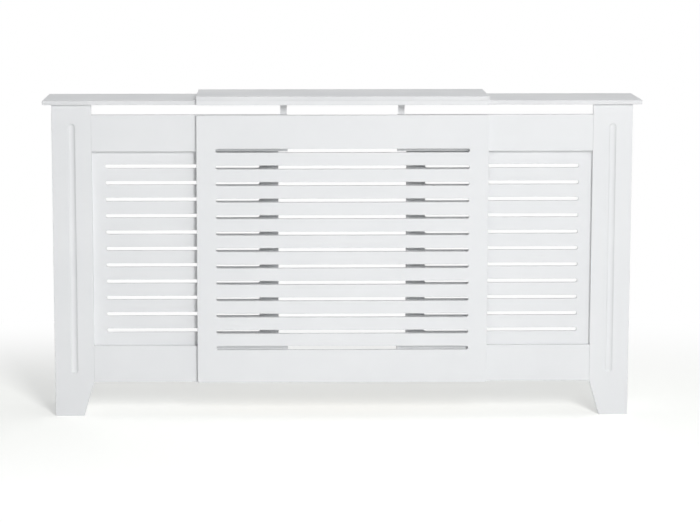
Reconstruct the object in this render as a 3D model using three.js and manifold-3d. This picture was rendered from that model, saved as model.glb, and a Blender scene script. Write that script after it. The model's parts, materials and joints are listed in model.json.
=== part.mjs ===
// Extendable radiator cover: a slotted centre panel and shelf, with a legged unit sliding out on each side.
// Millimetres. +X to the right, +Y to the wall, +Z up, with the origin on the floor below the cover's middle.

import * as THREE from 'three';
import { mergeVertices } from 'three/addons/utils/BufferGeometryUtils.js';
import Module from 'manifold-3d';

// ---------------------------------------------------------------- driving sizes

// Boards
const boardThickness = 12; // centre panel, legs, rails and gables
const shelfThickness = 11;
const grilleThickness = 9;
const lipThickness = 9;
const battenThickness = 12; // guides behind and under the cover
const seam = 0.2; // between glued or screwed faces

// Whole cover
const overallHeight = 815;
const overallDepth = 190; // from the lip's face to the wall
const ventGap = 25.5; // warm air leaves between the shelves and the panels
const floorGap = 87.5; // cool air enters under the panels
const slideGap = 0.3; // between the sliding shelves
const panelGap = 1; // between the centre panel and the units that slide behind it

// Centre unit
const centreWidth = 730;
const centreSlotLength = 635;
const lipOverhang = 5; // of the centre shelf past the centre panel

// Side units
const unitGap = 274; // between the inner ends of the two units, as set at rest
const unitWidth = 589; // from a unit's inner end to its leg's outer edge
const shelfOverhang = 22; // past the outer edge of the leg
const lipGap = 1; // between the lip's back and the side shelves
const topRailHeight = 92;
const bottomRailHeight = 93;
const sideSlotLength = 386.5;
const grilleLap = 15; // of the grille behind the leg
const grilleRailLap = 14; // of the grille behind the rails
const skirtingHeight = 100; // notch for the skirting board
const skirtingDepth = 18;

// Slots, alike on all three grilles
const slotPitch = 41.8;
const slotHeight = 9.5;
const slotMargin = 47.5; // from the slots' ends to the side edges of a side grille
const railSlotClearance = 25; // least, from the rails to the outer slots between them
const panelSlotClearance = 75; // least, from the centre panel's top and bottom to its outer slots

// Legs
const legWidth = 99;
const footWidth = 73;
const fluteWidth = 18;
const fluteDepth = 4;
const fluteInset = 22; // from the level of a panel's top or bottom to the flute's end

// Blocks and corner battens
const blockWidth = 16; // holds the inner end of a side shelf over its rail
const blockInset = 2.5; // from the rail's inner end
const blockLap = 20; // behind the rail
const cornerBattenSize = 16;

// Slide guides
const inwardTravel = 116;
const outwardTravel = 180;
const guideHeight = 44;
const guideEnd = 15; // of batten beyond the slot
const guideGap = 0.5; // between the rails and the guides behind them
const stopGap = 1;
const shelfGuideWidth = 40;
const shelfGuideSetback = 10; // from the wall

// Fasteners
const boreClearance = 0.2;
const blindSkin = 3.5; // of board left beyond the end of a blind bore
const clampScrew = { radius: 2.5, headRadius: 7, headHeight: 2.5 };
const clampInset = 20; // from the rail's inner end
const guideScrew = { radius: 2, headRadius: 4, headHeight: 2.2 };
const guideScrewSpacing = 24;
const bracketScrew = { radius: 2, headRadius: 3.6, headHeight: 2 };
const screwPoint = 2; // length of a screw's point, in shank radii
const headRim = 0.45; // upright share of a flat head's height
const headCrown = 0.7; // radius of a flat head's top, as a share of its rim's
const dowelRadius = 3;
const dowelChamfer = 0.8;
const railDowelLength = 40;
const railDowelSpacing = 50;
const shelfDowelLength = 24;
const shelfDowelInset = 35; // from the gable's front and back edges

// Wall brackets
const bracketLeg = 28;
const bracketWidth = 16;
const bracketThickness = 2;
const bracketHole = 2.3; // radius
const bracketBelowShelf = 95;
const bracketAboveFloor = 190;

// Facets
const weldDistance = 1e-4; // vertices closer than this are one
const slotSegments = 6; // round a slot's end
const turnSegments = 12; // round a screw, dowel or bore
const fluteSegments = 40;

// ---------------------------------------------------------------- levels and planes

const wallY = overallDepth / 2;
const lipFrontY = -wallY;
const panelFrontY = lipFrontY + lipOverhang;
const panelBackY = panelFrontY + boardThickness;
const railFrontY = panelBackY + panelGap;
const railBackY = railFrontY + boardThickness;
const guideFrontY = railBackY + guideGap;
const guideBackY = guideFrontY + battenThickness;
const sideShelfFrontY = lipFrontY + lipThickness + lipGap;

const centreShelfZ = overallHeight - shelfThickness; // undersides
const sideShelfZ = centreShelfZ - slideGap - shelfThickness;
const legTopZ = sideShelfZ - seam;
const panelTopZ = sideShelfZ - ventGap;
const panelMiddleZ = (panelTopZ + floorGap) / 2;
const topRailZ = panelTopZ - topRailHeight / 2; // middles
const bottomRailZ = floorGap + bottomRailHeight / 2;
const shelfGuideZ = sideShelfZ - slideGap - battenThickness / 2;
const openingTopZ = panelTopZ - topRailHeight; // of a side unit's frame, between its rails
const openingBottomZ = floorGap + bottomRailHeight;

// Screws reach from under their heads to the blind skin of the last board
const clampScrewLength = guideBackY + seam - railFrontY - blindSkin;
const guideScrewLength = guideBackY - panelFrontY - blindSkin;
const shelfScrewLength = overallHeight - blindSkin - shelfGuideZ + battenThickness / 2;
const bracketScrewLength = seam + bracketThickness + seam + boardThickness - blindSkin;

const unitInnerX = unitGap / 2;
const spacerWidth = 2 * (unitInnerX - inwardTravel - stopGap);
const clampX = unitInnerX + clampInset;
const guideSlotIn = clampX - inwardTravel - clampScrew.radius - stopGap;
const guideSlotOut = clampX + outwardTravel + clampScrew.radius + stopGap;
const guideLength = 2 * (guideSlotOut + guideEnd);
const shelfGuideY = wallY - shelfGuideSetback - shelfGuideWidth / 2;

// Across a side unit, outwards from its inner end
const legInner = unitWidth - legWidth;
const legMiddle = unitWidth - legWidth / 2;
const gableMiddle = unitWidth - boardThickness / 2;
const grilleWidth = sideSlotLength + 2 * slotMargin;
const grilleMiddle = legInner + grilleLap - grilleWidth / 2;

// ---------------------------------------------------------------- materials

const whitePaint = new THREE.MeshStandardMaterial({ color: 0xf1f2f3, roughness: 0.5, metalness: 0 });
const softwood = new THREE.MeshStandardMaterial({ color: 0xd9bd8c, roughness: 0.75, metalness: 0 });
const beech = new THREE.MeshStandardMaterial({ color: 0xcfa87a, roughness: 0.7, metalness: 0 });
const zincSteel = new THREE.MeshStandardMaterial({ color: 0xb9bcc0, roughness: 0.35, metalness: 1 });

// ---------------------------------------------------------------- solids

const wasm = await Module();
wasm.setup();

function toSolid(geometry) {
  const bare = geometry.clone();
  bare.deleteAttribute('normal');
  bare.deleteAttribute('uv');
  const merged = mergeVertices(bare, weldDistance);
  const mesh = new wasm.Mesh({
    numProp: 3,
    vertProperties: new Float32Array(merged.attributes.position.array),
    triVerts: new Uint32Array(merged.index.array),
  });
  return new wasm.Manifold(mesh);
}

function toGeometry(solid) {
  const mesh = solid.getMesh();
  const geometry = new THREE.BufferGeometry();
  geometry.setAttribute('position', new THREE.BufferAttribute(mesh.vertProperties, 3));
  geometry.setIndex(new THREE.BufferAttribute(mesh.triVerts, 1));
  return geometry;
}

// Cuts tools, which are placed in the same frame as the point `at`, out of a body that is centred there.
function carve(body, at, tools) {
  let solid = toSolid(body);
  for (const tool of tools) {
    solid = solid.subtract(toSolid(tool.clone().translate(-at.x, -at.y, -at.z)));
  }
  const geometry = toGeometry(solid);
  geometry.computeVertexNormals();
  return geometry;
}

function place(group, name, geometry, material, at) {
  const mesh = new THREE.Mesh(geometry, material);
  mesh.name = name;
  mesh.position.copy(at);
  group.add(mesh);
  return mesh;
}

// Stands an outline drawn in X and Z up as an upright board, centred on its own thickness.
function uprightBoard(outline, thickness) {
  const options = { depth: thickness, bevelEnabled: false, curveSegments: slotSegments };
  return new THREE.ExtrudeGeometry(outline, options).rotateX(Math.PI / 2).translate(0, thickness / 2, 0);
}

function rectangle(width, height) {
  const corners = [[-1, -1], [1, -1], [1, 1], [-1, 1]];
  return new THREE.Shape(corners.map(([x, y]) => new THREE.Vector2((x * width) / 2, (y * height) / 2)));
}

// A round-ended slot, lying level, with its middle at (x, z).
function slotPath(x, z, length, height) {
  const radius = height / 2;
  const straight = length / 2 - radius;
  const path = new THREE.Path();
  path.absarc(x + straight, z, radius, -Math.PI / 2, Math.PI / 2, false);
  path.absarc(x - straight, z, radius, Math.PI / 2, (3 * Math.PI) / 2, false);
  path.closePath();
  return path;
}

// One row of slots at the middle, and as many pairs above and below it as keep that clearance.
function rowsWithin(height, clearance) {
  return 2 * Math.floor((height / 2 - clearance - slotHeight / 2) / slotPitch) + 1;
}

// A board with a ladder of round-ended slots, whose middle row is at ladderZ on its face.
function slottedBoard(width, height, thickness, rows, slotLength, ladderZ) {
  const outline = rectangle(width, height);
  for (let row = 0; row < rows; row += 1) {
    const z = ladderZ + (row - (rows - 1) / 2) * slotPitch;
    outline.holes.push(slotPath(0, z, slotLength, slotHeight));
  }
  return uprightBoard(outline, thickness);
}

// ---------------------------------------------------------------- fasteners

const alongX = (geometry) => geometry.rotateZ(Math.PI / 2);
const alongZ = (geometry) => geometry.rotateX(Math.PI / 2);

// A screw along its own Y axis, with the underside of its flat head at 0 and its point below.
function screwSolid({ radius, headRadius, headHeight }, length) {
  const profile = [
    [0, -length],
    [radius, -length + radius * screwPoint],
    [radius, 0],
    [headRadius, 0],
    [headRadius, headHeight * headRim],
    [headRadius * headCrown, headHeight],
    [0, headHeight],
  ];
  return new THREE.LatheGeometry(profile.map(([r, y]) => new THREE.Vector2(r, y)), turnSegments);
}

// A countersunk screw along its own Y axis, with the face of its head at 0 and its point below.
function countersunkSolid({ radius, headRadius, headHeight }, length) {
  const profile = [
    [0, -length],
    [radius, -length + radius * screwPoint],
    [radius, -headHeight],
    [headRadius, 0],
    [0, 0],
  ];
  return new THREE.LatheGeometry(profile.map(([r, y]) => new THREE.Vector2(r, y)), turnSegments);
}

// What a countersunk screw needs cut: its shank and its cone, each with clearance.
function countersunkBore({ radius, headRadius, headHeight }, length) {
  const shank = radius + boreClearance;
  const cone = headRadius + boreClearance;
  const profile = [
    [0, -length - boreClearance],
    [shank, -length - boreClearance],
    [shank, -headHeight - boreClearance],
    [cone, -boreClearance],
    [cone, boreClearance],
    [0, boreClearance],
  ];
  return new THREE.LatheGeometry(profile.map(([r, y]) => new THREE.Vector2(r, y)), turnSegments);
}

function dowelSolid(length) {
  const profile = [
    [0, -length / 2],
    [dowelRadius - dowelChamfer, -length / 2],
    [dowelRadius, -length / 2 + dowelChamfer],
    [dowelRadius, length / 2 - dowelChamfer],
    [dowelRadius - dowelChamfer, length / 2],
    [0, length / 2],
  ];
  return new THREE.LatheGeometry(profile.map(([r, y]) => new THREE.Vector2(r, y)), turnSegments);
}

// A plain bore along Y, from its middle, with clearance round a shank of that radius and past both its ends.
function bore(radius, length) {
  const reach = length + 2 * boreClearance;
  return new THREE.CylinderGeometry(radius + boreClearance, radius + boreClearance, reach, turnSegments);
}

// ---------------------------------------------------------------- centre unit

function centreUnit() {
  const unit = new THREE.Group();
  const panelHeight = panelTopZ - floorGap;
  const panelAt = new THREE.Vector3(0, (panelFrontY + panelBackY) / 2, panelMiddleZ);
  const panelBores = [];

  // Two slotted guides behind the rails, each held off the centre panel by a spacer in the middle.
  for (const [level, z] of [['upper', topRailZ], ['lower', bottomRailZ]]) {
    const guideAt = new THREE.Vector3(0, (guideFrontY + guideBackY) / 2, z);
    const outline = rectangle(guideLength, guideHeight);
    const slotMiddle = (guideSlotIn + guideSlotOut) / 2;
    const slotLength = guideSlotOut - guideSlotIn;
    const slotWidth = 2 * clampScrew.radius + stopGap;
    outline.holes.push(slotPath(-slotMiddle, 0, slotLength, slotWidth));
    outline.holes.push(slotPath(slotMiddle, 0, slotLength, slotWidth));

    const spacerFrontY = panelBackY + seam;
    const spacerDepth = guideFrontY - seam - spacerFrontY;
    const spacerAt = new THREE.Vector3(0, spacerFrontY + spacerDepth / 2, z);

    const bores = [];
    for (const [row, offset] of [['a', -guideScrewSpacing / 2], ['b', guideScrewSpacing / 2]]) {
      const headAt = new THREE.Vector3(0, guideBackY, z + offset);
      const screw = countersunkSolid(guideScrew, guideScrewLength);
      bores.push(countersunkBore(guideScrew, guideScrewLength).translate(headAt.x, headAt.y, headAt.z));
      place(unit, `${level}_guide_screw_${row}`, screw, zincSteel, headAt);
    }
    panelBores.push(...bores);
    const guide = carve(uprightBoard(outline, battenThickness), guideAt, bores);
    const spacer = carve(new THREE.BoxGeometry(spacerWidth, spacerDepth, guideHeight), spacerAt, bores);
    place(unit, `${level}_guide`, guide, softwood, guideAt);
    place(unit, `${level}_guide_spacer`, spacer, softwood, spacerAt);
  }
  const rows = rowsWithin(panelHeight, panelSlotClearance);
  const panel = slottedBoard(centreWidth, panelHeight, boardThickness, rows, centreSlotLength, 0);
  place(unit, 'centre_panel', carve(panel, panelAt, panelBores), whitePaint, panelAt);

  // The centre shelf rides on the side shelves, its lip covers their fronts, and a guide runs below them.
  const shelfAt = new THREE.Vector3(0, 0, centreShelfZ + shelfThickness / 2);
  const lipHeight = slideGap + shelfThickness - seam;
  const lipAt = new THREE.Vector3(0, lipFrontY + lipThickness / 2, sideShelfZ + lipHeight / 2);
  const guideAt = new THREE.Vector3(0, shelfGuideY, shelfGuideZ);
  const spacerZ = shelfGuideZ + battenThickness / 2 + seam;
  const spacerHeight = centreShelfZ - seam - spacerZ;
  const spacerAt = new THREE.Vector3(0, shelfGuideY, spacerZ + spacerHeight / 2);
  const bores = [];
  for (const [row, offset] of [['a', -guideScrewSpacing / 2], ['b', guideScrewSpacing / 2]]) {
    const headAt = new THREE.Vector3(0, shelfGuideY + offset, shelfGuideZ - battenThickness / 2);
    const screw = countersunkSolid(guideScrew, shelfScrewLength);
    const screwBore = countersunkBore(guideScrew, shelfScrewLength).rotateX(-Math.PI / 2);
    bores.push(screwBore.translate(headAt.x, headAt.y, headAt.z));
    const mesh = place(unit, `shelf_guide_screw_${row}`, screw, zincSteel, headAt);
    mesh.rotation.x = -Math.PI / 2;
  }
  const shelf = carve(new THREE.BoxGeometry(centreWidth, overallDepth, shelfThickness), shelfAt, bores);
  const lip = new THREE.BoxGeometry(centreWidth, lipThickness, lipHeight);
  const guide = carve(new THREE.BoxGeometry(guideLength, shelfGuideWidth, battenThickness), guideAt, bores);
  const spacer = carve(new THREE.BoxGeometry(spacerWidth, shelfGuideWidth, spacerHeight), spacerAt, bores);
  place(unit, 'centre_shelf', shelf, whitePaint, shelfAt);
  place(unit, 'shelf_lip', lip, whitePaint, lipAt);
  place(unit, 'shelf_guide', guide, softwood, guideAt);
  place(unit, 'shelf_guide_spacer', spacer, softwood, spacerAt);
  return unit;
}

// ---------------------------------------------------------------- side units

// The front of a leg: straight outside, tapered inside below the bottom rail, and fluted down the middle.
function legSolid(side, legAt, dowelBores) {
  const inner = -legWidth / 2;
  const outer = legWidth / 2;
  const corners = [
    [outer, 0],
    [outer, legTopZ],
    [inner, legTopZ],
    [inner, floorGap],
    [outer - footWidth, 0],
  ];
  const outline = new THREE.Shape(corners.map(([x, z]) => new THREE.Vector2(side * x, z - legAt.z)));

  const fluteRadius = ((fluteWidth / 2) ** 2 + fluteDepth ** 2) / (2 * fluteDepth);
  const fluteLength = panelTopZ - floorGap - 2 * fluteInset - fluteWidth;
  const flute = alongZ(new THREE.CapsuleGeometry(fluteRadius, fluteLength, fluteSegments / 4, fluteSegments));
  flute.translate(legAt.x, railFrontY + fluteDepth - fluteRadius, panelMiddleZ);
  return carve(uprightBoard(outline, boardThickness), legAt, [flute, ...dowelBores]);
}

// The end of the cover: a gable from the leg's back to the wall, notched at the back for the skirting board.
function gableSolid(gableAt, bores) {
  const front = railBackY + seam - gableAt.y;
  const back = wallY - gableAt.y;
  const corners = [
    [front, 0],
    [back - skirtingDepth, 0],
    [back - skirtingDepth, skirtingHeight],
    [back, skirtingHeight],
    [back, legTopZ],
    [front, legTopZ],
  ];
  const outline = new THREE.Shape(corners.map(([y, z]) => new THREE.Vector2(y, z - gableAt.z)));
  const board = uprightBoard(outline, boardThickness).rotateZ(Math.PI / 2);
  return carve(board, gableAt, bores);
}

// An angle of folded strip: one leg on the gable, the other on the wall, each with a screw hole.
function bracketSolid(side) {
  const t = bracketThickness;
  const corners = [
    [0, 0],
    [-bracketLeg, 0],
    [-bracketLeg, -t],
    [-t, -t],
    [-t, -bracketLeg],
    [0, -bracketLeg],
  ];
  const outline = new THREE.Shape(corners.map(([x, y]) => new THREE.Vector2(side * x, y)));
  const options = { depth: bracketWidth, bevelEnabled: false };
  const strip = new THREE.ExtrudeGeometry(outline, options).translate(0, 0, -bracketWidth / 2);
  const middle = -(bracketLeg + t) / 2;
  const reach = 4 * t;
  const hole = (radius) => new THREE.CylinderGeometry(radius, radius, reach, turnSegments);
  const gableHole = alongX(hole(bracketScrew.radius + boreClearance)).translate((-side * t) / 2, middle, 0);
  const wallHole = hole(bracketHole).translate(side * middle, -t / 2, 0);
  return carve(strip, new THREE.Vector3(), [gableHole, wallHole]);
}

function sideUnit(name, side) {
  const unit = new THREE.Group();
  unit.position.x = side * unitInnerX;
  const railY = (railFrontY + railBackY) / 2;

  // Dowels across the joints between the rails and the leg, and the clamp screws in the rails' inner ends.
  const legBores = [];
  const rails = [['top', topRailZ, topRailHeight], ['bottom', bottomRailZ, bottomRailHeight]];
  for (const [level, z, height] of rails) {
    const bores = [];
    for (const [row, offset] of [['a', -railDowelSpacing / 2], ['b', railDowelSpacing / 2]]) {
      const dowelAt = new THREE.Vector3(side * legInner, railY, z + offset);
      bores.push(alongX(bore(dowelRadius, railDowelLength)).translate(dowelAt.x, dowelAt.y, dowelAt.z));
      place(unit, `${name}_${level}_rail_dowel_${row}`, alongX(dowelSolid(railDowelLength)), beech, dowelAt);
    }
    legBores.push(...bores);

    const screwAt = new THREE.Vector3(side * clampInset, guideBackY + seam, z);
    const screwBore = bore(clampScrew.radius, clampScrewLength);
    screwBore.translate(screwAt.x, screwAt.y - clampScrewLength / 2, screwAt.z);
    place(unit, `${name}_${level}_clamp_screw`, screwSolid(clampScrew, clampScrewLength), zincSteel, screwAt);

    const railLength = legInner - seam;
    const railAt = new THREE.Vector3((side * railLength) / 2, railY, z);
    const rail = new THREE.BoxGeometry(railLength, boardThickness, height);
    place(unit, `${name}_${level}_rail`, carve(rail, railAt, [...bores, screwBore]), whitePaint, railAt);
  }
  const legAt = new THREE.Vector3(side * legMiddle, railY, legTopZ / 2);
  place(unit, `${name}_leg`, legSolid(side, legAt, legBores), whitePaint, legAt);

  // The slotted grille is glued behind the rails and the leg, its slots level with the centre panel's.
  const openingHeight = openingTopZ - openingBottomZ;
  const grilleHeight = openingHeight + 2 * grilleRailLap;
  const grilleY = railBackY + seam + grilleThickness / 2;
  const grilleAt = new THREE.Vector3(side * grilleMiddle, grilleY, (openingTopZ + openingBottomZ) / 2);
  const rows = rowsWithin(openingHeight, railSlotClearance);
  const ladderZ = panelMiddleZ - grilleAt.z;
  const grille = slottedBoard(grilleWidth, grilleHeight, grilleThickness, rows, sideSlotLength, ladderZ);
  place(unit, `${name}_grille`, grille, whitePaint, grilleAt);

  // The gable and its wall brackets.
  const gableFrontY = railBackY + seam;
  const gableAt = new THREE.Vector3(side * gableMiddle, (gableFrontY + wallY) / 2, legTopZ / 2);
  const gableInner = unitWidth - boardThickness - seam;
  const gableBores = [];
  for (const [level, z] of [['upper', sideShelfZ - bracketBelowShelf], ['lower', bracketAboveFloor]]) {
    const bracketAt = new THREE.Vector3(side * gableInner, wallY, z);
    place(unit, `${name}_${level}_wall_bracket`, bracketSolid(side), zincSteel, bracketAt);
    const headX = side * (gableInner - bracketThickness - seam);
    const screwAt = new THREE.Vector3(headX, wallY - (bracketLeg + bracketThickness) / 2, z);
    const screw = screwSolid(bracketScrew, bracketScrewLength);
    const screwBore = alongX(bore(bracketScrew.radius, bracketScrewLength));
    screwBore.translate(screwAt.x + (side * bracketScrewLength) / 2, screwAt.y, screwAt.z);
    gableBores.push(screwBore);
    const mesh = place(unit, `${name}_${level}_bracket_screw`, screw, zincSteel, screwAt);
    mesh.rotation.z = (side * Math.PI) / 2;
  }

  // The shelf, doweled down on the gable, with a block that holds its inner end over the top rail.
  const shelfLength = unitWidth + shelfOverhang;
  const shelfY = (sideShelfFrontY + wallY) / 2;
  const shelfAt = new THREE.Vector3((side * shelfLength) / 2, shelfY, sideShelfZ + shelfThickness / 2);
  const shelfBores = [];
  const dowelPlaces = [['front', gableFrontY + shelfDowelInset], ['back', wallY - shelfDowelInset]];
  for (const [end, y] of dowelPlaces) {
    const dowelZ = sideShelfZ + shelfThickness - blindSkin - shelfDowelLength / 2;
    const dowelAt = new THREE.Vector3(side * gableMiddle, y, dowelZ);
    shelfBores.push(alongZ(bore(dowelRadius, shelfDowelLength)).translate(dowelAt.x, dowelAt.y, dowelAt.z));
    place(unit, `${name}_shelf_dowel_${end}`, alongZ(dowelSolid(shelfDowelLength)), beech, dowelAt);
  }
  const shelfDepth = wallY - sideShelfFrontY;
  const shelf = carve(new THREE.BoxGeometry(shelfLength, shelfDepth, shelfThickness), shelfAt, shelfBores);
  place(unit, `${name}_shelf`, shelf, whitePaint, shelfAt);
  place(unit, `${name}_gable`, gableSolid(gableAt, [...gableBores, ...shelfBores]), whitePaint, gableAt);

  const blockHeight = ventGap + blockLap - seam;
  const blockAt = new THREE.Vector3(
    side * (blockInset + blockWidth / 2),
    railBackY + seam + blockWidth / 2,
    legTopZ - blockHeight / 2,
  );
  const block = new THREE.BoxGeometry(blockWidth, blockWidth, blockHeight);
  place(unit, `${name}_shelf_block`, block, whitePaint, blockAt);

  // A batten glued into the corner between the leg and the gable.
  const battenHeight = legTopZ - floorGap;
  const battenAt = new THREE.Vector3(
    side * (gableInner - cornerBattenSize / 2),
    railBackY + seam + cornerBattenSize / 2,
    floorGap + battenHeight / 2,
  );
  const batten = new THREE.BoxGeometry(cornerBattenSize, cornerBattenSize, battenHeight);
  place(unit, `${name}_corner_batten`, batten, softwood, battenAt);
  return unit;
}

const group = new THREE.Group();
group.add(centreUnit(), sideUnit('left', -1), sideUnit('right', 1));

export default group;
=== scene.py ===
"""Looks, light and camera for the extendable radiator cover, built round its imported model."""

import json
import math

import bmesh
import bpy
from mathutils import Matrix, Vector

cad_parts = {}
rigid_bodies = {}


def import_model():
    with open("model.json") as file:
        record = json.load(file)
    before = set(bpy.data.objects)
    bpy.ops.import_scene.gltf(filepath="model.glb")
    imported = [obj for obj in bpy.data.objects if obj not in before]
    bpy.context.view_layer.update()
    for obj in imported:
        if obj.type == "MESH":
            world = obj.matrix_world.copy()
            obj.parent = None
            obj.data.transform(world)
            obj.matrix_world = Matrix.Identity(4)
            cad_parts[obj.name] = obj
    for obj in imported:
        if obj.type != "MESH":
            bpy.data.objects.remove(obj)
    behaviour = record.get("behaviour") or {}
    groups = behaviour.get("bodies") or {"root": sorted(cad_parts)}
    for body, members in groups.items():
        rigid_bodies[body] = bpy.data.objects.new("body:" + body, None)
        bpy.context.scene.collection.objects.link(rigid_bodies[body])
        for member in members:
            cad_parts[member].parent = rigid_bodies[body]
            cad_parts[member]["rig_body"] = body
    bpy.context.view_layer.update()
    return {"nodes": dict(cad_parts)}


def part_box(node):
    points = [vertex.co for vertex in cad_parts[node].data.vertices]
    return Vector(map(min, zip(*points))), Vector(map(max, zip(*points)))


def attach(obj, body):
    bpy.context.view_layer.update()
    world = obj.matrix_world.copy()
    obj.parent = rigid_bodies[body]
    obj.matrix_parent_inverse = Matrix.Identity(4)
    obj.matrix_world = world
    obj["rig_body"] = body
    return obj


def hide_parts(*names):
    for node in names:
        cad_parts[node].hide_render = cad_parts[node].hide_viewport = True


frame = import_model()

# ---------------------------------------------------------------- camera
# A long lens, a little left of the cover's middle and above its shelves, as in the photograph.
# It looks down at the cover, and the frame is shifted so that the cover sits high and left in it.

LENS = 114.25
VIEWPOINT = Vector((-0.157, -5.590, 1.349))
LOOKING_DOWN = math.radians(7.63)
LOOKING_RIGHT = math.radians(0.78)
FRAME_SHIFT = (0.0575, -0.12)

camera = bpy.data.objects.new("camera", bpy.data.cameras.new("camera"))
camera.data.lens = LENS
camera.data.shift_x, camera.data.shift_y = FRAME_SHIFT
camera.location = VIEWPOINT
camera.rotation_euler = (math.pi / 2 - LOOKING_DOWN, 0, -LOOKING_RIGHT)
bpy.context.scene.collection.objects.link(camera)
bpy.context.scene.camera = camera
bpy.context.scene.view_settings.view_transform = "Standard"

# ---------------------------------------------------------------- floor and light
# A plain white studio: a matt floor that keeps the cover's shadow and goes over into a white
# surround, a large soft lamp up to the right, a low one in front, and a weak one for the back.

FLOOR_RADIUS = 30.0
FLOOR_STEPS = 64
FLOOR_GREY = (0.82, 0.82, 0.81, 1)  # for the light that it throws back
FLOOR_WHITE = (0.985, 0.99, 0.955, 1)  # for the viewer
FLOOR_LIFT = 0.29
SHADE_OVAL = (0.4, 1.0, 1.0)
SHADE_END = 0.3
WHITE_START = 1.2
SURROUND_LIGHT = (0.97, 0.985, 1.0, 1)
SURROUND_RANGE = (0.12, 0.68)
BRIGHT_SIDE = (0.8, 0.6, 0.0)
KEY_PLACE = Vector((1.6, -6.0, 3.4))
KEY_AIM = Vector((0.0, 0.0, 0.45))
KEY_SIZE = (1.4, 2.3)
KEY_POWER = 246.0
FILL_PLACE = Vector((0.0, -1.15, 0.12))
FILL_AIM = Vector((0.0, 0.0, 0.1))
FILL_SIZE = (2.0, 0.2)
FILL_POWER = 1.8
BACK_PLACE = Vector((-0.7, 2.8, 0.6))
BACK_AIM = Vector((0.0, 0.0, 0.45))
BACK_SIZE = (1.8, 0.6)
BACK_POWER = 10.0


def add_node(tree, kind, inputs=None, **settings):
    """A shader node with its settings, and its inputs as plain values or as other nodes' outputs."""
    node = tree.nodes.new(kind)
    for name, value in settings.items():
        setattr(node, name, value)
    for name, value in (inputs or {}).items():
        if isinstance(value, bpy.types.NodeSocket):
            tree.links.new(value, node.inputs[name])
        else:
            node.inputs[name].default_value = value
    return node


def mixed(tree, factor, first, second, kind="FLOAT"):
    inputs = {"Factor": factor, "A": first, "B": second}
    return add_node(tree, "ShaderNodeMix", inputs, data_type=kind).outputs["Result"]


def stretched(tree, value, low, high, to=(0.0, 1.0), easing="LINEAR"):
    """The stretch of a value between low and high, spread over another one and cut off there."""
    inputs = {"Value": value, "From Min": low, "From Max": high, "To Min": to[0], "To Max": to[1]}
    return add_node(tree, "ShaderNodeMapRange", inputs, interpolation_type=easing).outputs["Result"]


def seen_directly(tree):
    """1 on a ray that the viewer, a reflection or glass sends, and 0 on one that lights a surface."""
    path = add_node(tree, "ShaderNodeLightPath").outputs
    rays = {0: path["Is Camera Ray"], 1: path["Is Glossy Ray"]}
    mirrored = add_node(tree, "ShaderNodeMath", rays, operation="MAXIMUM")
    rays = {0: mirrored.outputs[0], 1: path["Is Transmission Ray"]}
    return add_node(tree, "ShaderNodeMath", rays, operation="MAXIMUM").outputs[0]


def make_object(name, mesh):
    made = bpy.data.objects.new(name, mesh)
    bpy.context.scene.collection.objects.link(made)
    return made


# Seen directly, the floor is lifted towards white, and is plain white away from the cover.
floor_paint = bpy.data.materials.new("studio_floor")
floor_paint.use_nodes = True
tree = floor_paint.node_tree
tree.nodes.clear()
seen = seen_directly(tree)
tone = mixed(tree, seen, FLOOR_GREY, FLOOR_WHITE, kind="RGBA")
matt = add_node(tree, "ShaderNodeBsdfDiffuse", {"Color": tone})
lift = add_node(tree, "ShaderNodeMath", {0: seen, 1: FLOOR_LIFT}, operation="MULTIPLY").outputs[0]
glow = add_node(tree, "ShaderNodeEmission", {"Strength": lift})
shaded = add_node(tree, "ShaderNodeAddShader", {0: matt.outputs[0], 1: glow.outputs[0]})
away = {0: add_node(tree, "ShaderNodeTexCoord").outputs["Object"], 1: SHADE_OVAL}
away = add_node(tree, "ShaderNodeVectorMath", away, operation="MULTIPLY").outputs[0]
away = add_node(tree, "ShaderNodeVectorMath", {0: away}, operation="LENGTH").outputs["Value"]
reach = stretched(tree, away, SHADE_END, WHITE_START, easing="SMOOTHSTEP")
reach = add_node(tree, "ShaderNodeMath", {0: seen, 1: reach}, operation="MULTIPLY").outputs[0]
bright = add_node(tree, "ShaderNodeEmission", {"Strength": 1.0})
ground = {0: reach, 1: shaded.outputs[0], 2: bright.outputs[0]}
ground = add_node(tree, "ShaderNodeMixShader", ground)
add_node(tree, "ShaderNodeOutputMaterial", {"Surface": ground.outputs[0]})

shape = bmesh.new()
bmesh.ops.create_circle(shape, cap_ends=True, radius=FLOOR_RADIUS, segments=FLOOR_STEPS)
floor = make_object("floor", bpy.data.meshes.new("floor"))
shape.to_mesh(floor.data)
shape.free()
floor.data.materials.append(floor_paint)

# Seen directly, the surround is white. The light that it sends is weaker, and more on one side.
studio = bpy.data.worlds.new("studio")
studio.use_nodes = True
tree = studio.node_tree
tree.nodes.clear()
white = add_node(tree, "ShaderNodeBackground", {"Color": (1, 1, 1, 1), "Strength": 1.0})
facing = {0: add_node(tree, "ShaderNodeTexCoord").outputs["Generated"], 1: BRIGHT_SIDE}
facing = add_node(tree, "ShaderNodeVectorMath", facing, operation="DOT_PRODUCT").outputs["Value"]
strength = stretched(tree, facing, -1.0, 1.0, to=SURROUND_RANGE)
soft = add_node(tree, "ShaderNodeBackground", {"Color": SURROUND_LIGHT, "Strength": strength})
surround = {0: seen_directly(tree), 1: soft.outputs[0], 2: white.outputs[0]}
surround = add_node(tree, "ShaderNodeMixShader", surround)
add_node(tree, "ShaderNodeOutputWorld", {"Surface": surround.outputs[0]})
bpy.context.scene.world = studio


def add_lamp(name, place, aim, size, power):
    """A soft rectangular lamp that lights the cover from a place without showing itself."""
    lamp = make_object(name, bpy.data.lights.new(name, "AREA"))
    lamp.data.shape = "RECTANGLE"
    lamp.data.size, lamp.data.size_y = size
    lamp.data.energy = power
    lamp.location = place
    lamp.rotation_euler = (place - aim).to_track_quat("Z", "Y").to_euler()
    lamp.visible_camera = False
    return lamp


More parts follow.
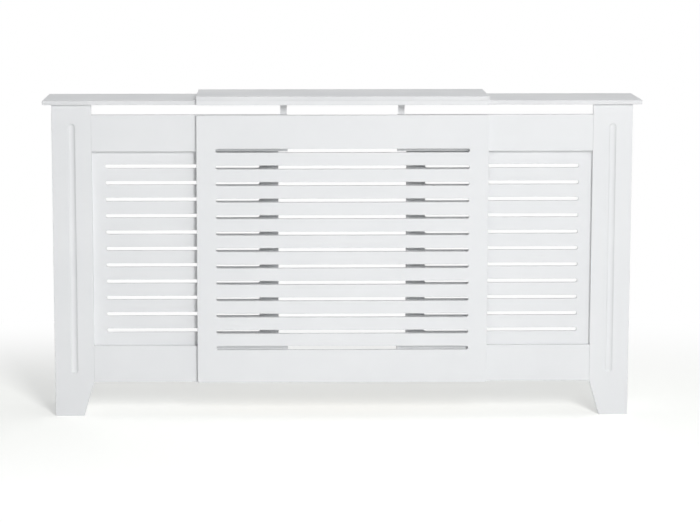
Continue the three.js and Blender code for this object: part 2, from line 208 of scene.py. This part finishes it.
add_lamp("key_lamp", KEY_PLACE, KEY_AIM, KEY_SIZE, KEY_POWER)
low_fill = add_lamp("low_fill", FILL_PLACE, FILL_AIM, FILL_SIZE, FILL_POWER)
low_fill.visible_glossy = False
add_lamp("back_lamp", BACK_PLACE, BACK_AIM, BACK_SIZE, BACK_POWER)

# ---------------------------------------------------------------- panels, frames and grilles
# Fine fibreboard, cut and slotted on a router, its sharp edges eased with sandpaper, primed and
# sprayed satin white. The centre panel slides in front of the two framed units, whose rails are
# butted and doweled to the legs, and whose grilles are glued behind them.

MM = 0.001
EASED_EDGE = 0.7 * MM
SHARP_ANGLE = math.radians(60)  # least turn at an edge that gets eased
FLAT_ANGLE = math.radians(1)  # most turn between faces that are one flat face
CREASE_ANGLE = math.radians(35)  # least turn that shows as an edge in the shading
ALIGNED = 0.9  # least share of a direction that counts as along an axis
TOUCHING = 0.01 * MM
PAINT_WHITE = (0.808, 0.816, 0.826, 1)
PAINT_SHADE = (0.788, 0.797, 0.808, 1)
EDGE_WHITE = (0.785, 0.790, 0.798, 1)
EDGE_SHADE = (0.745, 0.752, 0.762, 1)
FACE_SHINE = (0.40, 0.48)
EDGE_SHINE = (0.50, 0.62)
FACE_FIBRES = 0.15
EDGE_FIBRES = 0.8  # the cut edge drinks the paint and stays rougher
PEEL_DEPTH = 0.03 * MM
PEEL_SCALE = 420.0
BOARD_FIBRE_SCALE = 1400.0
THICKNESS_SCALE = 6.0
BLOTCH_RANGE = (0.35, 0.65)
OUTER_END = {"left": "-x", "right": "+x"}


def new_group(name, usual):
    """A shader group that turns a position and some named values into a Drift and a Height."""
    group = bpy.data.node_groups.new(name, "ShaderNodeTree")
    group.interface.new_socket("Position", in_out="INPUT", socket_type="NodeSocketVector")
    for socket, value in usual.items():
        made = group.interface.new_socket(socket, in_out="INPUT", socket_type="NodeSocketFloat")
        made.default_value = value
    for socket in ("Drift", "Height"):
        group.interface.new_socket(socket, in_out="OUTPUT", socket_type="NodeSocketFloat")
    return group, group.nodes.new("NodeGroupInput").outputs, group.nodes.new("NodeGroupOutput").inputs


def placed(tree, position, scale=(1, 1, 1), move=(0, 0, 0), turn=(0, 0, 0)):
    inputs = {"Vector": position, "Scale": scale, "Location": move, "Rotation": turn}
    return add_node(tree, "ShaderNodeMapping", inputs).outputs[0]


def noise(tree, position, scale, detail=2.0, roughness=0.5):
    inputs = {"Vector": position, "Scale": scale, "Detail": detail, "Roughness": roughness}
    return add_node(tree, "ShaderNodeTexNoise", inputs).outputs["Fac"]


def surface(name, group, values, light, shade, shine, depth, metallic=0.0, turn=(0, 0, 0)):
    """A material whose colour and shine follow a group's Drift, and whose relief follows its Height."""
    material = bpy.data.materials.new(name)
    material.use_nodes = True
    tree = material.node_tree
    tree.nodes.clear()
    position = placed(tree, add_node(tree, "ShaderNodeTexCoord").outputs["Object"], turn=turn)
    effect = {"Position": position, **values}
    effect = add_node(tree, "ShaderNodeGroup", effect, node_tree=group).outputs
    relief = {"Height": effect["Height"], "Distance": depth}
    skin = {
        "Base Color": mixed(tree, effect["Drift"], light, shade, kind="RGBA"),
        "Roughness": stretched(tree, effect["Drift"], 0.0, 1.0, to=shine),
        "Normal": add_node(tree, "ShaderNodeBump", relief).outputs[0],
        "Metallic": metallic,
    }
    skin = add_node(tree, "ShaderNodeBsdfPrincipled", skin)
    add_node(tree, "ShaderNodeOutputMaterial", {"Surface": skin.outputs[0]})
    return material


# Sprayed paint: a fine orange peel over the board's fibres, and a slow drift in its thickness.
sprayed_paint, given, result = new_group(
    "sprayed_paint",
    {"Peel Scale": PEEL_SCALE, "Fibre Scale": BOARD_FIBRE_SCALE, "Fibre Share": FACE_FIBRES},
)
drift = noise(sprayed_paint, given["Position"], THICKNESS_SCALE, detail=3.0)
peel = noise(sprayed_paint, given["Position"], given["Peel Scale"], detail=1.0)
fibre = noise(sprayed_paint, given["Position"], given["Fibre Scale"], detail=4.0, roughness=0.7)
sprayed_paint.links.new(stretched(sprayed_paint, drift, *BLOTCH_RANGE), result["Drift"])
sprayed_paint.links.new(mixed(sprayed_paint, given["Fibre Share"], peel, fibre), result["Height"])

face_paint = surface(
    "face_paint", sprayed_paint, {"Fibre Share": FACE_FIBRES},
    light=PAINT_WHITE, shade=PAINT_SHADE, shine=FACE_SHINE, depth=PEEL_DEPTH,
)
edge_paint = surface(
    "edge_paint", sprayed_paint, {"Fibre Share": EDGE_FIBRES},
    light=EDGE_WHITE, shade=EDGE_SHADE, shine=EDGE_SHINE, depth=PEEL_DEPTH,
)


def eased(node, easing, slot, sides, caps, across=min, glued=()):
    """A copy of a board from the frame, with its sharp edges eased except on its glued sides. The
    caps, which are its faces across its least size or its greatest, have a material of their own."""
    low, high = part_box(node)
    size = high - low
    thin_axis = min(range(3), key=lambda axis: size[axis])
    cap_axis = across(range(3), key=lambda axis: size[axis])
    shape = bmesh.new()
    shape.from_mesh(frame["nodes"][node].data)
    bmesh.ops.remove_doubles(shape, verts=shape.verts, dist=TOUCHING)
    bmesh.ops.dissolve_limit(shape, angle_limit=FLAT_ANGLE, verts=shape.verts, edges=shape.edges)

    def is_rim(edge):
        run = (edge.verts[1].co - edge.verts[0].co).normalized()
        on_broad_face = any(abs(face.normal[thin_axis]) > ALIGNED for face in edge.link_faces)
        return on_broad_face or abs(run[thin_axis]) > ALIGNED

    def is_glued(edge):
        for side in glued:
            axis = "xyz".index(side[1])
            plane = high[axis] if side[0] == "+" else low[axis]
            if all(abs(vert.co[axis] - plane) < TOUCHING for vert in edge.verts):
                return True
        return False

    rims = [edge for edge in shape.edges if edge.is_manifold and edge.calc_face_angle() > SHARP_ANGLE]
    rims = [edge for edge in rims if is_rim(edge) and not is_glued(edge)]
    bmesh.ops.bevel(
        shape, geom=rims, offset=easing, segments=1, profile=0.5, affect="EDGES", material=-1
    )
    for face in shape.faces:
        face.smooth = True
        face.material_index = 1 if abs(face.normal[cap_axis]) > ALIGNED else 0
    piece = make_object(node + "_finished", bpy.data.meshes.new(node + "_finished"))
    shape.to_mesh(piece.data)
    shape.free()
    # The frame's meshes bring normals of their own, which don't fit the eased edges.
    piece.data.attributes.remove(piece.data.attributes["custom_normal"])
    piece.data.set_sharp_from_angle(angle=CREASE_ANGLE)
    piece.data.materials.append(sides)
    piece.data.materials.append(caps)
    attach(piece, frame["nodes"][node]["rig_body"])
    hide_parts(node)


def painted(node, glued=(), easing=EASED_EDGE):
    eased(node, easing, "white_paint", sides=edge_paint, caps=face_paint, glued=glued)


painted("centre_panel")
for side, outer_end in OUTER_END.items():
    painted(f"{side}_leg", glued=("+y",))
    painted(f"{side}_top_rail", glued=(outer_end,))
    painted(f"{side}_bottom_rail", glued=(outer_end,))
    painted(f"{side}_grille")

# ---------------------------------------------------------------- gables and shelves
# The same painted board. Each gable is glued behind its leg and notched for the skirting board,
# and carries a side shelf on dowels. The centre shelf lies over both side shelves, with a lip
# glued under its front edge, and a block holds each side shelf's inner end over the top rail.

SIDES = ("left", "right")
SHELF_EDGE = 1.0 * MM

for side in SIDES:
    painted(f"{side}_gable", glued=("-y", "+z"))
    painted(f"{side}_shelf", easing=SHELF_EDGE)
    painted(f"{side}_shelf_block", glued=("+z",))
painted("centre_shelf", glued=("-z",), easing=SHELF_EDGE)
painted("shelf_lip", glued=("+z",), easing=SHELF_EDGE)

# ---------------------------------------------------------------- guides and battens
# Planed softwood, left bare because it doesn't show from the front: slotted guides behind the
# rails and one under the shelves, on spacers, and a batten glued into each corner of a side unit.

PLANED_EDGE = 1.0 * MM
PINE_LIGHT = (0.80, 0.63, 0.40, 1)
PINE_DARK = (0.60, 0.41, 0.22, 1)
PINE_END_LIGHT = (0.68, 0.50, 0.29, 1)
PINE_END_DARK = (0.46, 0.29, 0.14, 1)
BARE_SHINE = (0.62, 0.74)
GRAIN_DEPTH = 0.08 * MM
PINE_RINGS = 90.0
RING_RANGE = (0.35, 1.0)
RING_WAVER = 4.0
RING_WAVER_SCALE = 0.25
WOOD_FIBRE_SCALE = 1100.0
WOOD_FIBRES = 0.35
WOOD_FIBRE_RANGE = (0.3, 0.7)
GRAIN_STRETCH = (0.05, 1, 1)
HEART_OFFSET = (0, 0.11, 0.031)  # from the log's heart to the frame's origin
KNOT_STRETCH = (0.35, 1, 1)
KNOT_SCALE = 13.0
KNOT_RANGE = (0.06, 0.10)
GRAIN_TURN = {"x": (0, 0, 0), "z": (0, math.radians(90), 0)}
PINE_PIECES = {  # and the axis that the grain of each runs along
    "upper_guide": "x",
    "lower_guide": "x",
    "shelf_guide": "x",
    "upper_guide_spacer": "z",
    "lower_guide_spacer": "z",
    "shelf_guide_spacer": "x",
    "left_corner_batten": "z",
    "right_corner_batten": "z",
}

# Wood with its grain along X: growth rings round a heart beside the board, fibres, and small knots.
wood_grain, given, result = new_group(
    "wood_grain",
    {
        "Ring Scale": PINE_RINGS, "Fibre Scale": WOOD_FIBRE_SCALE, "Fibre Share": WOOD_FIBRES,
        "Knots": 1.0,
    },
)
along = placed(wood_grain, given["Position"], scale=GRAIN_STRETCH, move=HEART_OFFSET)
rings = {
    "Vector": along, "Scale": given["Ring Scale"], "Distortion": RING_WAVER,
    "Detail Scale": RING_WAVER_SCALE,
}
rings = add_node(
    wood_grain, "ShaderNodeTexWave", rings, wave_type="RINGS", rings_direction="X", wave_profile="SAW"
).outputs["Fac"]
rings = stretched(wood_grain, rings, *RING_RANGE)
fibre = noise(wood_grain, along, given["Fibre Scale"], detail=3.0, roughness=0.6)
streaks = stretched(wood_grain, fibre, *WOOD_FIBRE_RANGE)
grain = mixed(wood_grain, given["Fibre Share"], rings, streaks)
spots = placed(wood_grain, given["Position"], scale=KNOT_STRETCH)
spots = add_node(wood_grain, "ShaderNodeTexVoronoi", {"Vector": spots, "Scale": KNOT_SCALE})
knots = stretched(wood_grain, spots.outputs["Distance"], *KNOT_RANGE, to=(1.0, 0.0))
knots = {0: knots, 1: given["Knots"]}
knots = add_node(wood_grain, "ShaderNodeMath", knots, operation="MULTIPLY").outputs[0]
darkest = add_node(wood_grain, "ShaderNodeMath", {0: grain, 1: knots}, operation="MAXIMUM").outputs[0]
wood_grain.links.new(darkest, result["Drift"])
wood_grain.links.new(fibre, result["Height"])

pine = {}
for run, turn in GRAIN_TURN.items():
    long_grain = surface(
        f"pine_along_{run}", wood_grain, {},
        light=PINE_LIGHT, shade=PINE_DARK, shine=BARE_SHINE, depth=GRAIN_DEPTH, turn=turn,
    )
    end_grain = surface(
        f"pine_end_{run}", wood_grain, {},
        light=PINE_END_LIGHT, shade=PINE_END_DARK, shine=BARE_SHINE, depth=GRAIN_DEPTH, turn=turn,
    )
    pine[run] = (long_grain, end_grain)

for node, run in PINE_PIECES.items():
    eased(node, PLANED_EDGE, "softwood", *pine[run], across=max)

# ---------------------------------------------------------------- dowels
# Turned beech pegs glued into the joints between the rails and legs, and the gables and shelves.
# They are shut in by the boards, so they keep the frame's shape and only get their wood.

BEECH_LIGHT = (0.66, 0.43, 0.25, 1)
BEECH_DARK = (0.54, 0.32, 0.17, 1)
BEECH_GRAIN = {"Ring Scale": 260.0, "Knots": 0.0}

beech = surface(
    "beech", wood_grain, BEECH_GRAIN,
    light=BEECH_LIGHT, shade=BEECH_DARK, shine=BARE_SHINE, depth=GRAIN_DEPTH,
)
for name, node in frame["nodes"].items():
    if "dowel" in name:
        for material_slot in node.material_slots:
            material_slot.material = beech

# ---------------------------------------------------------------- wall brackets and screws
# Angles of folded zinc-plated strip on the gables, and zinc-plated cross-headed screws. Round
# heads clamp the side units to the guides and hold the brackets, and flat ones the guides.

FOLDED_EDGE = 0.3 * MM
ZINC_LIGHT = (0.66, 0.68, 0.70, 1)
ZINC_DARK = (0.50, 0.52, 0.55, 1)
ZINC_SHINE = (0.26, 0.42)
ZINC_DEPTH = 0.01 * MM
MOTTLE_SCALE = 160.0
SCRATCH_SCALE = 900.0
SCRATCH_STRETCH = (1, 0.05, 1)
TURN_STEPS = 32
WING_REACH = 0.62  # of the cross recess, in head radii, as are its width and depth
WING_WIDTH = 0.17
WING_DEPTH = 0.42
WING_TAPER = 0.45  # share of the reach that is left at the bottom
DOME = ((0.45, 0.05), (0.72, 0.2), (0.92, 0.45), (1.0, 0.7))  # outwards and down, in radii and rises
POINT_LENGTH = 2.0  # in shank radii
CLAMP_SCREW = {"shank": 2.5 * MM, "head": 7 * MM, "rise": 2.5 * MM}  # radii, and the head's height
BRACKET_SCREW = {"shank": 2 * MM, "head": 3.6 * MM, "rise": 2 * MM}
GUIDE_SCREW = {"shank": 2 * MM, "head": 4 * MM, "rise": 2.2 * MM}
INWARDS = {"left": (1, 0, 0), "right": (-1, 0, 0)}
BACKWARDS = (0, 1, 0)
DOWNWARDS = (0, 0, -1)

zinc_plate, given, result = new_group(
    "zinc_plate", {"Mottle Scale": MOTTLE_SCALE, "Scratch Scale": SCRATCH_SCALE}
)
mottle = noise(zinc_plate, given["Position"], given["Mottle Scale"], detail=4.0, roughness=0.6)
scratches = placed(zinc_plate, given["Position"], scale=SCRATCH_STRETCH)
scratches = noise(zinc_plate, scratches, given["Scratch Scale"], detail=3.0)
zinc_plate.links.new(stretched(zinc_plate, mottle, *BLOTCH_RANGE), result["Drift"])
zinc_plate.links.new(scratches, result["Height"])
zinc = surface(
    "zinc", zinc_plate, {},
    light=ZINC_LIGHT, shade=ZINC_DARK, shine=ZINC_SHINE, depth=ZINC_DEPTH, metallic=1.0,
)

for side in SIDES:
    for level in ("upper", "lower"):
        eased(f"{side}_{level}_wall_bracket", FOLDED_EDGE, "zinc_steel", zinc, zinc)


def recess_wing(name, turn, head):
    """One of the two crossed, tapered bars that cut the recess into a screw's head."""
    wing = bmesh.new()
    bmesh.ops.create_cube(wing, size=1)
    tips = [vert for vert in wing.verts if vert.co.z < 0]
    bmesh.ops.scale(wing, vec=(WING_TAPER, 1, 1), verts=tips)
    span = Vector((2 * WING_REACH, WING_WIDTH, 2 * WING_DEPTH)) * head
    bmesh.ops.scale(wing, vec=span, verts=wing.verts)
    bmesh.ops.rotate(wing, cent=(0, 0, 0), matrix=Matrix.Rotation(turn, 3, "Z"), verts=wing.verts)
    cutter = make_object(name, bpy.data.meshes.new(name))
    wing.to_mesh(cutter.data)
    wing.free()
    return cutter


def cross_headed(name, profile, head):
    """A screw turned from half its outline, its head's top at zero, with the cross recess cut in."""
    shape = bmesh.new()
    outline = [shape.verts.new((radius, 0, height)) for radius, height in profile]
    edges = [shape.edges.new(pair) for pair in zip(outline, outline[1:])]
    bmesh.ops.spin(
        shape, geom=outline + edges, cent=(0, 0, 0), axis=(0, 0, 1), angle=math.tau, steps=TURN_STEPS,
        use_merge=True,
    )
    bmesh.ops.remove_doubles(shape, verts=shape.verts, dist=TOUCHING)
    bmesh.ops.recalc_face_normals(shape, faces=shape.faces)
    blank = make_object(name, bpy.data.meshes.new(name))
    shape.to_mesh(blank.data)
    shape.free()

    wings = [recess_wing(f"{name}_wing", turn, head) for turn in (0, math.radians(90))]
    for wing in wings:
        cut = blank.modifiers.new("recess", "BOOLEAN")
        cut.object = wing
        cut.solver = "EXACT"
    bpy.context.view_layer.update()
    cut_blank = blank.evaluated_get(bpy.context.evaluated_depsgraph_get())
    mesh = bpy.data.meshes.new_from_object(cut_blank)
    for spare in (blank, *wings):
        bpy.data.objects.remove(spare)
    mesh.shade_smooth()
    mesh.set_sharp_from_angle(angle=CREASE_ANGLE)
    mesh.materials.clear()
    mesh.materials.append(zinc)
    return mesh


def length_of(node):
    low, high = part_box(node)
    return max(high - low)


def round_headed(node, shank, head, rise):
    """A round-headed screw as long as a node: a low dome with a short upright rim."""
    length = length_of(node)
    dome = [(head * outwards, -rise * down) for outwards, down in DOME]
    shaft = [(head, -rise), (shank, -rise), (shank, POINT_LENGTH * shank - length), (0, -length)]
    return cross_headed(node + "_turned", [(0, 0), *dome, *shaft], head)


def flat_headed(node, shank, head, rise):
    """A countersunk screw as long as a node: a flat top over a cone."""
    length = length_of(node)
    shaft = [(shank, -rise), (shank, POINT_LENGTH * shank - length), (0, -length)]
    return cross_headed(node + "_turned", [(0, 0), (head, 0), *shaft], head)


def fit_screw(node, mesh, facing):
    """A copy of a screw in a node's place, its head facing along an axis of the frame."""
    low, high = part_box(node)
    facing = Vector(facing)
    top = (low + high) / 2 + (high - low) / 2 * facing
    piece = make_object(node + "_finished", mesh.copy())
    piece.data.transform(Matrix.Translation(top) @ facing.to_track_quat("Z", "Y").to_matrix().to_4x4())
    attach(piece, frame["nodes"][node]["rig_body"])
    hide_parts(node)


clamp_screw = round_headed("left_top_clamp_screw", **CLAMP_SCREW)
bracket_screw = round_headed("left_upper_bracket_screw", **BRACKET_SCREW)
guide_screw = flat_headed("upper_guide_screw_a", **GUIDE_SCREW)
shelf_screw = flat_headed("shelf_guide_screw_a", **GUIDE_SCREW)
for row in ("a", "b"):
    fit_screw(f"shelf_guide_screw_{row}", shelf_screw, DOWNWARDS)
    for level in ("upper", "lower"):
        fit_screw(f"{level}_guide_screw_{row}", guide_screw, BACKWARDS)
for side in SIDES:
    for level in ("top", "bottom"):
        fit_screw(f"{side}_{level}_clamp_screw", clamp_screw, BACKWARDS)
    for level in ("upper", "lower"):
        fit_screw(f"{side}_{level}_bracket_screw", bracket_screw, INWARDS[side])
